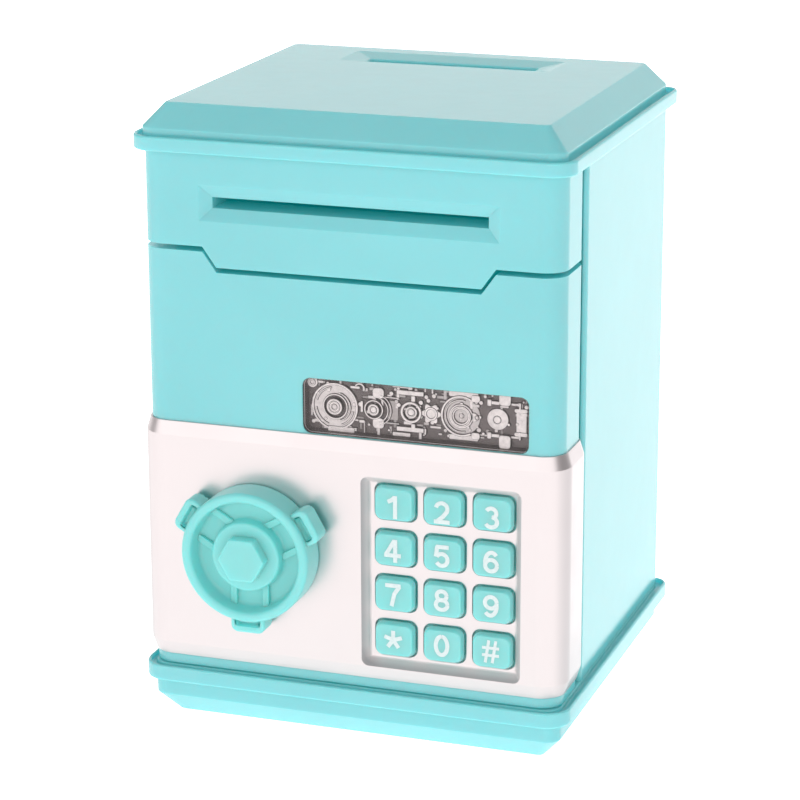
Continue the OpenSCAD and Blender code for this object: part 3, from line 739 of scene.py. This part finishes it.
def make_chrome_panel():
    """Plated panel: bevelled edges, rounded corners, sunken keypad with twelve key holes."""
    z0, z1 = PANEL_LOW.z, PANEL_HIGH.z
    line = [(0, z0), (PANEL_EDGE, z0), (PANEL_PROUD, z0 + PANEL_BEVEL), (PANEL_PROUD, z1 - PANEL_BEVEL),
            (PANEL_EDGE, z1), (0, z1)]
    profile = fillet(line, (0.08, 0.5, 0.5, 0.08))
    panel = new_piece("plated_panel", lambda build: fill_panel(build, profile))
    floor_y = DOOR_FRONT - PANEL_PROUD + RECESS_DEPTH
    low = (RECESS_LOW[0] - RECESS_WALL, DOOR_FRONT - 0.5, RECESS_LOW[1] - RECESS_WALL)
    high = (RECESS_HIGH[0] + RECESS_WALL, floor_y + RECESS_FLOOR, RECESS_HIGH[1] + RECESS_WALL)
    combine(panel, [loft_object("keypad_back", box_rings(low, high))], "UNION")
    mouth = fillet([(3, DOOR_FRONT - PANEL_PROUD), (0, DOOR_FRONT - PANEL_PROUD), (-RECESS_SLOPE, floor_y),
                    (-RECESS_SLOPE - 3, floor_y)], (0.25, 0.7))
    stages = [(mouth[1].x, mouth[1].y - 1)] + [(grow, y) for grow, y in mouth[1:-1]]
    cutters = [front_cutter("recess", RECESS_LOW, RECESS_HIGH, stages, RECESS_CORNER_R)]
    combine(panel, cutters + key_hole_cutters(floor_y), "DIFFERENCE")
    smooth(panel, 28)
    finish_piece(panel, "door", "chrome_plating", ["chrome_panel"])


def fill_panel(build, profile):
    """Sweeps the panel's section along its plan and closes both ends."""
    rings = [panel_path(grow, z) for grow, z in profile]
    add_loft(build, rings, closed_rings=False, cap=False, closed_run=True)
    build.verts.ensure_lookup_table()
    count = len(rings[0])
    for end in (0, count - 1):
        build.faces.new([build.verts[index * count + end] for index in range(len(rings))])


# ---------- keys ----------

KEY_MARKS = {"key_star": "*", "key_0": "0", "key_hash": "#"}
KEY_MARKS.update({f"key_{digit}": str(digit) for digit in range(1, 10)})
KEY_DRAFT = 0.35
KEY_WAIST = 0.25
KEY_DRAFT_DEPTH = 1.1
KEY_FACE_ROUND = 0.3
MARK_STROKE = 0.72
# How far the characters of each key row sit below the middle of the key, from the top row down
MARK_DROPS = (0.45, 0.1, -0.14, -0.1)
MARK_SCALE = (1.04, 1.07)
HASH_THINNING = 0.72
# Crossing strokes of one character lie a hair above each other
INK_LIFT = 0.012
INK_STEP = 0.003


def make_key(node):
    """Keycap with a softly rounded face, on its flange and plunger."""
    low, high = to_mm(node)
    middle = (low + high) / 2
    half_x, half_z = KEY_SIZE[0] / 2, KEY_SIZE[1] / 2
    flange = middle.x - low.x - half_x
    flange_y = high.y - 1.6
    line = [(-2.4, low.y), (-KEY_DRAFT, low.y), (0, low.y + KEY_DRAFT_DEPTH), (-KEY_WAIST, flange_y),
            (flange, flange_y), (flange, flange_y + 0.8), (-1, flange_y + 0.8)]
    profile = fillet(line, (KEY_FACE_ROUND, 0.8, 0.1, 0.15, 0.15), 6)
    rings = []
    for grow, y in profile:
        outline = rounded_box((middle.x - half_x - grow, middle.z - half_z - grow),
                              (middle.x + half_x + grow, middle.z + half_z + grow),
                              [max(KEY_CORNER_R + 0.25 + grow * 0.6, 0.35)] * 4, 8)
        rings.append([(x, y, z) for x, z in outline])
    stem = [[(middle.x + x, y, middle.z + z) for x, _, z in circle_ring(1.8, 0, 32)]
            for y in (flange_y + 0.7, high.y)]

    def fill(build):
        add_loft(build, rings)
        add_loft(build, stem)

    piece = new_piece(f"cap_{node}", fill)
    smooth(piece, 40)
    finish_piece(piece, node, "key_plastic", [node])


def arc(centre, radii, start, end, steps=14):
    """Points along an ellipse from one angle to another, in degrees anticlockwise from the right."""
    angles = (math.radians(start + (end - start) * step / steps) for step in range(steps + 1))
    return [(centre[0] + radii[0] * math.cos(a), centre[1] + radii[1] * math.sin(a)) for a in angles]


def mark_strokes(mark):
    """Pen strokes of a character, in millimetres from its middle; the pen is MARK_STROKE wide."""
    spokes = [[(0, 0), (1.6 * math.cos(math.radians(a)), 1.55 * math.sin(math.radians(a)))]
              for a in range(90, 450, 72)]
    strokes = {
        "0": [arc((0, 0), (1.0, 1.56), 90, 450, 28)],
        "1": [[(0.42, -1.92), (0.42, 1.92)], [(0.35, 1.7), (-0.15, 1.2), (-0.85, 0.85)]],
        "2": [arc((0, 0.62), (0.98, 0.94), 170, -28) + [(0.25, -0.62), (-0.72, -1.42)],
              [(-1.33, -1.56), (1.36, -1.56)]],
        "3": [arc((-0.02, 0.77), (0.86, 0.79), 155, -80), arc((-0.02, -0.7), (1.0, 0.86), 85, -155)],
        "4": [[(0.42, -1.92), (0.42, 1.92)], [(0.3, 1.78), (-1.15, -0.6)], [(-1.48, -0.75), (1.4, -0.75)]],
        "5": [[(-0.95, 1.56), (1.2, 1.56)], [(-0.75, 1.7), (-0.98, -0.1)],
              arc((0.02, -0.56), (1.0, 1.0), 150, -150)],
        "6": [arc((0, -0.6), (1.0, 0.96), 0, 360, 24), arc((0.1, -0.1), (1.1, 1.66), 45, 185)],
        "7": [[(-1.35, 1.56), (1.35, 1.56)], [(1.15, 1.5), (0.25, 0.2), (-0.25, -1.92)]],
        "8": [arc((0, 0.8), (0.84, 0.76), 0, 360, 24), arc((0, -0.72), (1.0, 0.84), 0, 360, 24)],
        "9": [arc((0, 0.6), (1.0, 0.96), 0, 360, 24), arc((-0.1, 0.1), (1.1, 1.66), 225, 365)],
        "*": spokes,
        "#": [[(-1.45, 0.62), (1.45, 0.62)], [(-1.45, -0.62), (1.45, -0.62)], [(-0.9, -1.9), (-0.3, 1.9)],
              [(0.3, -1.9), (0.9, 1.9)]],
    }
    return strokes[mark]


def add_stroke(build, points, width, place, lift):
    """Flat ribbon along a pen stroke, on the face of a key."""
    points = [Vector(point) for point in points]
    edges = []
    for index, point in enumerate(points):
        back = points[max(index - 1, 0)]
        ahead = points[min(index + 1, len(points) - 1)]
        along = (ahead - back).normalized()
        aside = Vector((-along.y, along.x)) * (width / 2)
        edges.append([place + Vector((p.x, -lift, p.y)) for p in (point + aside, point - aside)])
    pairs = [[build.verts.new(corner) for corner in pair] for pair in edges]
    for (a, b), (c, d) in zip(pairs, pairs[1:]):
        build.faces.new((a, b, d, c))


def add_key_mark(node, mark):
    """Printed character on the face of its key."""
    low, high = to_mm(node)
    rows = sorted({round(spot.z) for spot in key_spots().values()}, reverse=True)
    drop = MARK_DROPS[rows.index(round((low.z + high.z) / 2))]
    place = Vector(((low.x + high.x) / 2, low.y, (low.z + high.z) / 2 - drop))
    width = MARK_STROKE * (HASH_THINNING if mark == "#" else 1)

    def fill(build):
        for number, stroke in enumerate(mark_strokes(mark)):
            scaled = [(x * MARK_SCALE[0] - 0.1, z * MARK_SCALE[1]) for x, z in stroke]
            add_stroke(build, scaled, width, place, INK_LIFT + INK_STEP * number)

    piece = new_piece(f"mark_{node}", fill)
    piece.data.materials.append(ink)
    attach(piece, node)


# ---------- knob ----------

KNOB_R = 11.6
KNOB_RIM = 1.7
KNOB_DISH = 3.3
HUB_R = 6.15
HUB_DROP = 0.8
HEX_R = 4.3
HEX_RISE = 1.4
LOBE_REACH = 14.0
LOBE_WIDTH = 6.2
LOBE_ANGLES = (30, 150, 270)
RIB_SIDE = 2.95
RIB_W = 1.15
RIB_RISE = 0.7


def add_lobe(build, angle, front, back):
    """Grip that stands out from the rim, with a pocket in its front."""
    root = KNOB_R - 1
    turn = Matrix.Rotation(math.radians(-angle), 4, "Y")

    def ring(grow, y, low, high, radii):
        outline = rounded_box((low[0] - grow, low[1] - grow), (high[0] + grow, high[1] + grow),
                              [max(radius + grow, 0.1) for radius in radii], 5)
        return [turn @ Vector((x, y, z)) for x, z in outline]

    half = LOBE_WIDTH / 2
    low, high, radii = (root, -half), (LOBE_REACH, half), (1.3, 0.3, 0.3, 1.3)
    pocket = ((KNOB_R + 0.05, -2.2), (LOBE_REACH - 1.25, 2.2))
    pocket_radii = (0.5, 0.2, 0.2, 0.5)
    rings = [ring(grow, y, low, high, radii) for grow, y in fillet(
        [(-1, back), (0, back), (0, front), (-1, front)], (0.35, 0.45))]
    rings.append(ring(0.15, front, *pocket, pocket_radii))
    for grow, depth in ((0, 0.15), (-0.1, 0.8), (-0.3, 1.0)):
        rings.append(ring(grow, front + depth, *pocket, pocket_radii))
    add_loft(build, rings)


def add_hexagon(build, front, back):
    """Six-sided boss with eased edges."""
    def ring(grow, y):
        corners = [Vector((math.cos(math.radians(a)), math.sin(math.radians(a)))) for a in range(0, 360, 60)]
        points = []
        for index, corner in enumerate(corners):
            radius = HEX_R + grow
            for other in (corners[index - 1], corners[(index + 1) % 6]):
                points.append(corner * radius + (other - corner).normalized() * 0.22)
        return [(x, y, z) for x, z in points]
    line = fillet([(0, back), (0, front), (-1.2, front)], (0.35,))
    add_loft(build, [ring(grow, y) for grow, y in line] + [ring(-HEX_R + 0.6, front)])


def add_rib(build, angle, side, inner, dish):
    """Rib on the floor of the dish, from the hub to the rim, off to one side of a grip's axis."""
    turn = Matrix.Rotation(math.radians(-angle), 4, "Y")
    top = dish - RIB_RISE
    rings = []
    for grow, y in fillet([(0, dish + 0.5), (0, top), (-0.2, top)], (0.15,)):
        half = RIB_W / 2 + grow
        outline = rounded_box((HUB_R - 1, side - half), (inner + 0.6, side + half), [0.1] * 4, 2)
        rings.append([turn @ Vector((x, y, z)) for x, z in outline])
    add_loft(build, rings)


def make_knob():
    """Dished knob with a round rim, a hub with a hexagonal boss, ribs and three grips."""
    hex_front = KNOB_LOW.y
    front = hex_front + HEX_RISE
    back = KNOB_HIGH.y
    dish = front + KNOB_DISH
    inner = KNOB_R - KNOB_RIM
    line = [(3, back), (KNOB_R, back), (KNOB_R, front), (inner, front), (inner - 0.35, dish),
            (HUB_R + 0.15, dish), (HUB_R, front + HUB_DROP), (HUB_R - 2, front + HUB_DROP)]
    profile = fillet(line, (0.4, 0.75, 0.75, 0.8, 0.5, 0.55), 6)

    def fill(build):
        add_loft(build, [circle_ring(radius, y) for radius, y in profile])
        add_hexagon(build, hex_front, front + HUB_DROP + 0.5)
        for angle in LOBE_ANGLES:
            add_lobe(build, angle, front + 1.3, back - 0.8)
            for side in (-RIB_SIDE, RIB_SIDE):
                add_rib(build, angle, side, inner, dish)

    piece = new_piece("turned_knob", fill)
    piece.data.transform(Matrix.Translation((KNOB_X * MM, 0, KNOB_Z * MM)))
    smooth(piece, 38)
    finish_piece(piece, "latch_knob", "knob_plastic", ["knob"])


# ---------- clockwork relief behind the window ----------

RELIEF_DRAFT = 0.1
RELIEF_EASE = 0.1
RELIEF_SEED = 11
RING_STEP_DEGREES = 7
WINDOW_R = 1.45
SMALL_BITS = 170
STUD_SHARE = 0.35


def relief_stages(height):
    """(grow, y) pairs of a raised shape with drafted walls and an eased top edge."""
    top = RELIEF_FRONT - height
    return [(RELIEF_DRAFT, RELIEF_FRONT + 0.3), (RELIEF_DRAFT, RELIEF_FRONT), (0.02, top + RELIEF_EASE),
            (-0.04, top + RELIEF_EASE * 0.3), (-0.12, top)]


def add_disc(build, x, z, radius, height, dome=0.0):
    """Round boss; a dome lifts its middle."""
    def ring(r, y):
        return [(x + px, y, z + pz) for px, _, pz in circle_ring(max(r, 0.02), 0, 40)]
    rings = [ring(radius + grow, y) for grow, y in relief_stages(height)]
    for share in (0.75, 0.5, 0.25) if dome else ():
        rings.append(ring((radius - 0.12) * share, RELIEF_FRONT - height - dome * (1 - share ** 2)))
    add_loft(build, rings)


def add_ring(build, x, z, outer, inner, height, start=0, end=360):
    """Raised ring, or a stretch of one from one angle to another in degrees."""
    top = RELIEF_FRONT - height
    section = [(outer + RELIEF_DRAFT, RELIEF_FRONT + 0.2), (outer, top + RELIEF_EASE), (outer - 0.08, top),
               (inner + 0.08, top), (inner, top + RELIEF_EASE), (inner - RELIEF_DRAFT, RELIEF_FRONT + 0.2)]
    whole = end - start >= 360
    steps = max(6, int((end - start) / RING_STEP_DEGREES))
    rings = []
    for step in range(steps if whole else steps + 1):
        angle = math.radians(start + (end - start) * step / steps)
        rings.append([(x + r * math.cos(angle), y, z + r * math.sin(angle)) for r, y in section])
    add_loft(build, rings, cap=not whole, closed_run=whole)


def add_bar(build, low, high, height, radius=0.15):
    """Raised plate with rounded corners."""
    half = min(high[0] - low[0], high[1] - low[1]) / 2
    corner = min(radius, half - 0.05)
    rings = []
    for grow, y in relief_stages(height):
        outline = rounded_box((low[0] - grow, low[1] - grow), (high[0] + grow, high[1] + grow),
                              [max(corner + grow, 0.03)] * 4, 4)
        rings.append([(x, y, z) for x, z in outline])
    add_loft(build, rings)


def add_cam(build, x, z, radius, lobes, wave, height):
    """Plate with a scalloped outline."""
    rings = []
    for grow, y in relief_stages(height):
        ring = []
        for step in range(96):
            angle = math.tau * step / 96
            reach = radius + grow + wave * math.cos(lobes * angle)
            ring.append((x + reach * math.cos(angle), y, z + reach * math.sin(angle)))
        rings.append(ring)
    add_loft(build, rings)


def fill_wheels(build, mid):
    """The row of wheels, from left to right."""
    add_disc(build, -6.9, mid + 3.8, 0.95, 0.5)
    add_ring(build, -6.9, mid + 3.8, 0.62, 0.3, 0.62)
    x, z = -2.9, mid - 0.2
    add_ring(build, x, z, 4.1, 2.0, 0.24)
    add_ring(build, x, z, 4.2, 3.75, 0.42)
    for start, end in ((100, 165), (185, 250), (290, 350)):
        add_ring(build, x, z, 3.5, 3.2, 0.42, start, end)
    add_ring(build, x + 0.1, z, 2.3, 1.95, 0.5)
    add_ring(build, x + 0.35, z, 2.6, 2.3, 0.5, -75, 75)
    add_disc(build, x, z, 1.4, 0.75)
    add_ring(build, x, z, 1.1, 0.85, 0.85)
    add_ring(build, x, z, 0.6, 0.35, 0.9)
    add_ring(build, 1.6, mid + 3.4, 1.0, 0.6, 0.5, -20, 150)
    x, z = 4.1, mid - 0.1
    add_ring(build, x, z, 1.75, 1.4, 0.5)
    add_disc(build, x, z, 1.0, 0.7)
    add_ring(build, x, z, 0.7, 0.45, 0.82)
    for outer in (2.35, 2.9):
        add_ring(build, x + 0.35, z, outer, outer - 0.3, 0.45, -75, 75)
    x, z = 10.8, mid + 0.05
    add_ring(build, x, z, 1.9, 1.4, 0.6)
    add_disc(build, x, z, 1.05, 0.6)
    add_ring(build, x, z, 0.75, 0.5, 0.75)
    add_cam(build, 14.3, mid + 0.1, 1.55, 6, 0.28, 0.4)
    add_ring(build, 14.3, mid + 0.1, 1.2, 0.75, 0.52)
    add_disc(build, 14.9, mid - 0.1, 0.5, 0.15)
    x, z = 19.6, mid + 0.2
    add_disc(build, x, z, 3.3, 0.2)
    add_ring(build, x, z, 3.6, 3.15, 0.5, 60, 300)
    add_ring(build, x, z, 2.9, 2.6, 0.42, 75, 285)
    add_ring(build, x, z, 2.15, 1.2, 0.5)
    add_disc(build, x + 2.2, z, 0.75, 0.5)
    add_ring(build, x, z, 1.85, 1.5, 0.68)
    add_disc(build, x, z, 1.15, 0.16, 0.04)
    add_ring(build, x, z, 0.5, 0.3, 0.3)
    add_ring(build, x + 2.75, z, 0.42, 0.2, 0.62)
    x, z = 26.0, mid + 0.25
    add_disc(build, x, z, 1.85, 0.4, 0.4)
    add_ring(build, x, z, 0.75, 0.55, 0.85)


def fill_plates(build, mid):
    """Bars, bridges and rounded plates between the wheels."""
    for side in (-1, 1):
        z = mid + side * 3.75 + 0.2
        add_bar(build, (26.3, z - 1.15), (28.3, z + 1.15), 0.7, 0.5)
        add_bar(build, (24.3, z - side * 0.9 - 0.3), (26.3, z - side * 0.9 + 0.3), 0.4)
        add_bar(build, (28.3, z - side * 0.9 - 0.2), (30.0, z - side * 0.9 + 0.2), 0.35)
        add_bar(build, (24.2, z - side * 0.9 - 0.55), (24.9, z - side * 0.9 + 0.55), 0.55)
        add_bar(build, (29.7, z - side * 1.2 - 0.7), (30.05, z - side * 1.2 + 0.7), 0.5)
        add_bar(build, (8.2, z - side * 0.55 - 0.4), (13.0, z - side * 0.55 + 0.4), 0.5)
        add_bar(build, (7.4, z + side * 0.5 - 0.35), (10.6, z + side * 0.5 + 0.35), 0.32)
        add_bar(build, (10.8, mid + side * 2.45 - 0.5), (11.5, mid + side * 2.45 + 0.5), 0.55)
        add_bar(build, (3.9, z - side * 1.1 - 0.9), (5.9, z - side * 1.1 + 0.9), 0.42, 0.6)
        add_bar(build, (5.7, mid + side * 2.25 - 0.12), (8.6, mid + side * 2.25 + 0.12), 0.38)
        add_bar(build, (17.4, z - 0.45), (22.6, z + 0.45), 0.34, 0.3)
        add_bar(build, (21.4, z - side * 0.5 - 0.6), (22.9, z - side * 0.5 + 0.6), 0.5, 0.4)
        add_bar(build, (13.1, z - 0.15), (13.4, z + 0.15 + 0.8), 0.4)
        add_bar(build, (-5.0, mid - 4.3 + (side > 0) * 0.3), (1.0, mid - 3.95 + (side > 0) * 0.25), 0.3)
    add_bar(build, (29.2, mid - 2.4), (31.0, mid + 2.4), 0.3, 0.6)
    for side in (-1, 1):
        add_bar(build, (28.9, mid + side * 2.05 - 0.35), (31.2, mid + side * 2.05 + 0.35), 0.45, 0.3)
    add_bar(build, (6.6, mid - 1.7), (8.4, mid + 1.7), 0.16, 0.2)
    add_bar(build, (-4.2, mid - 4.7), (0.6, mid - 3.7), 0.4, 0.3)
    add_bar(build, (2.3, mid - 4.4), (2.5, mid - 2.2), 0.4)


def fill_small_bits(build, low, high):
    """Small studs and bars strewn over the ground plate."""
    draw = random.Random(RELIEF_SEED)
    for _ in range(SMALL_BITS):
        x = draw.uniform(low[0] + 0.6, high[0] - 0.6)
        z = draw.uniform(low[1] + 0.5, high[1] - 0.5)
        height = draw.uniform(0.12, 0.34)
        if draw.random() < STUD_SHARE:
            add_disc(build, x, z, draw.uniform(0.18, 0.4), height + 0.1)
        else:
            sides = (draw.uniform(0.15, 0.3), draw.uniform(0.3, 1.0))
            half_x, half_z = sorted(sides, reverse=draw.random() < 0.6)
            add_bar(build, (x - half_x, z - half_z), (x + half_x, z + half_z), height, 0.12)


def add_rim(build, low, high):
    """Thin wall round the relief, from its ground plate up to the window."""
    def ring(inset, y):
        outline = rounded_box((low[0] + inset, low[1] + inset), (high[0] - inset, high[1] - inset),
                              [WINDOW_R - inset] * 4, 8)
        return [(x, y, z) for x, z in outline]
    front = to_mm("window_lens")[1].y + 0.02
    back = RELIEF_FRONT + 0.2
    add_loft(build, [ring(0.02, back), ring(0.02, front), ring(0.08, front), ring(0.5, back)])


def make_relief():
    """Moulded plate of make-believe clockwork."""
    low, high = to_mm("gear_relief")
    mid = (WINDOW_LOW.z + WINDOW_HIGH.z) / 2
    window_low, window_high = (WINDOW_LOW.x, WINDOW_LOW.z), (WINDOW_HIGH.x, WINDOW_HIGH.z)

    def fill(build):
        plate = rounded_box((low.x, low.z), (high.x, high.z), [0.2] * 4, 2)
        add_loft(build, [[(x, y, z) for x, z in plate] for y in (high.y, RELIEF_FRONT)])
        add_rim(build, window_low, window_high)
        fill_small_bits(build, window_low, window_high)
        fill_plates(build, mid)
        fill_wheels(build, mid)

    piece = new_piece("clockwork_relief", fill)
    smooth(piece, 30)
    finish_piece(piece, "door", "relief_plating", ["gear_relief"])


# ---------- surroundings, in metres ----------

FLOOR_HALF = 3.0
FLOOR_TONE = (0.75, 0.745, 0.745)
LIGHT_TINT = (1, 0.985, 0.985, 1)
FLOOR_GLOW = 0.8
FLOOR_GLOW_BEHIND = 1.26
OVERHEAD = 0.59
SIDE_LIGHT = 0.3
FRONT_LIGHT = 1.43
REAR_LIGHT = 1.12
REAR_SLOPE = math.tan(math.radians(30))


def make_floor():
    """Pale floor that glows a little, more so behind the object."""
    mesh = bpy.data.meshes.new("floor")
    build = bmesh.new()
    bmesh.ops.create_grid(build, x_segments=1, y_segments=1, size=FLOOR_HALF)
    build.to_mesh(mesh)
    build.free()
    floor = link_object("floor", mesh)
    material, tree, shader = new_material("floor", FLOOR_TONE, 0.7)
    shader.inputs["Specular IOR Level"].default_value = 0.2
    shader.inputs["Emission Color"].default_value = LIGHT_TINT
    x, y, _ = split_xyz(tree, "Object")
    half_w, half_d = cad_box[1][0], cad_box[1][1]
    aside = math_node(tree, "SUBTRACT", math_node(tree, "ABSOLUTE", x), half_w)
    behind = math_node(tree, "MULTIPLY", math_node(tree, "ADD", y, half_d), REAR_SLOPE)
    depth = math_node(tree, "SUBTRACT", behind, aside)
    wedge = ramp(tree, depth, 0.0, 0.025)
    back_half = ramp(tree, y, -half_d, -half_d + 0.02)
    shadow_side = math_node(tree, "MULTIPLY", wedge, back_half)
    extra = math_node(tree, "MULTIPLY", shadow_side, FLOOR_GLOW_BEHIND - FLOOR_GLOW)
    glow = math_node(tree, "ADD", extra, FLOOR_GLOW)
    tree.links.new(glow, shader.inputs["Emission Strength"])
    floor.data.materials.append(material)


def make_world():
    """Soft surroundings: a bright band in front, a brighter one behind, dim sides and ceiling."""
    world = bpy.data.worlds.new("studio")
    world.use_nodes = True
    tree = world.node_tree
    _, y, z = split_xyz(tree, "Generated")
    band = ramp(tree, math_node(tree, "ABSOLUTE", z), 0.42, 0.66, 1.0, 0.0)
    flat = math_node(tree, "SQRT", math_node(tree, "SUBTRACT", 1.0001, math_node(tree, "MULTIPLY", z, z)))
    along = math_node(tree, "DIVIDE", y, flat)
    rear = ramp(tree, along, 0.74, 0.9, 0.0, REAR_LIGHT - SIDE_LIGHT)
    front = ramp(tree, math_node(tree, "MULTIPLY", along, -1.0), 0.2, 0.6, 0.0, FRONT_LIGHT - SIDE_LIGHT)
    glow = math_node(tree, "ADD", math_node(tree, "ADD", rear, front), SIDE_LIGHT - OVERHEAD)
    total = math_node(tree, "ADD", math_node(tree, "MULTIPLY", glow, band), OVERHEAD)
    background = tree.nodes["Background"]
    background.inputs["Color"].default_value = LIGHT_TINT
    tree.links.new(total, background.inputs["Strength"])
    bpy.context.scene.world = world


def make_studio():
    """Plain pale studio."""
    make_floor()
    make_world()
    bpy.context.scene.view_settings.view_transform = "Standard"


make_camera()
make_studio()
dress_cad_nodes()
make_lid()
make_base()
make_chrome_panel()
make_knob()
make_relief()
for key_node, key_mark in KEY_MARKS.items():
    make_key(key_node)
    add_key_mark(key_node, key_mark)
